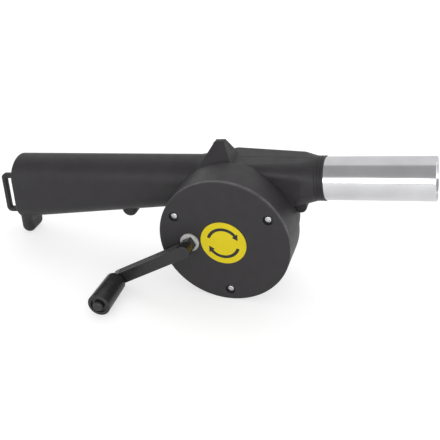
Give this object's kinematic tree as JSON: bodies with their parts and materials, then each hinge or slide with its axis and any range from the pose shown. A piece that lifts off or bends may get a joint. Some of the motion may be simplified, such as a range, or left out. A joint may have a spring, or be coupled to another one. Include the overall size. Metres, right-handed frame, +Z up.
{
  "type": "hand crank fan",
  "caption": "Hand cranked blower with a long handle, a round gear drum, a metal nozzle tube, a strap loop and a plug-in Z crank that spins the impeller inside.",
  "frame": {"origin": "on the table, under the centre of the bounding box; the fan stands on the lowest line of its drum and on the tip of its finger guard", "axes": "+X towards the nozzle mouth, +Z up from the table, -Y out of the drum cover with the crank"},
  "size_m": [0.2662, 0.087, 0.0885],
  "materials": {
    "casing_plastic": "satin moulded charcoal black plastic",
    "cover_plastic": "fine-textured moulded charcoal black plastic",
    "screw_steel": "bright zinc-plated steel",
    "label_film": "yellow printed film",
    "tube_aluminium": "polished drawn aluminium",
    "socket_nylon": "light grey nylon",
    "washer_fibre": "fibre washer",
    "gear_nylon": "natural nylon",
    "axle_steel": "ground steel",
    "bush_brass": "turned brass",
    "impeller_plastic": "grey moulded plastic",
    "crank_plastic": "semi-gloss black moulded plastic",
    "pin_steel": "black finished steel"
  },
  "bodies": {
    "casing": {"front_shell": "casing_plastic", "rear_shell": "casing_plastic", "drum_cover": "cover_plastic", "cover_screws": "screw_steel", "casing_screws": "screw_steel", "round_label": "label_film", "strap_loop": "casing_plastic", "collar_ring": "casing_plastic", "nozzle_tube": "tube_aluminium", "hub_washer": "washer_fibre", "idler_axle": "axle_steel", "shaft_bush": "bush_brass"},
    "drive_hub": {"drive_gear": "socket_nylon"},
    "crank": {"crank_arm": "crank_plastic", "grip_pin": "pin_steel"},
    "grip": {"crank_grip": "crank_plastic"},
    "idler": {"idler_gear": "gear_nylon"},
    "rotor": {"impeller": "impeller_plastic", "impeller_shaft": "axle_steel", "shaft_pinion": "gear_nylon", "impeller_clip": "axle_steel"}
  },
  "joints": [
    {"name": "crank_turn", "type": "hinge", "parent": "casing", "child": "drive_hub", "pos_m": [0.00557, -0.00625, 0.03441], "axis": [0, 1, 0], "continuous": true},
    {"name": "crank_pull", "type": "slide", "parent": "drive_hub", "child": "crank", "axis": [0, -1, 0], "range_m": [0, 0.03]},
    {"name": "grip_spin", "type": "hinge", "parent": "crank", "child": "grip", "pos_m": [-0.03601, -0.02995, 0.00665], "axis": [0, 1, 0], "continuous": true},
    {"name": "idler_spin", "type": "hinge", "parent": "casing", "child": "idler", "pos_m": [0.01758, 0.01125, 0.02155], "axis": [0, 1, 0], "continuous": true},
    {"name": "rotor_spin", "type": "hinge", "parent": "casing", "child": "rotor", "pos_m": [0.02503, 0.02875, 0.0375], "axis": [0, 1, 0], "continuous": true}
  ],
  "couplings": [
    {"joint": "idler_spin", "follows": "crank_turn", "ratio": -3.4},
    {"joint": "rotor_spin", "follows": "crank_turn", "ratio": 9.0667}
  ]
}
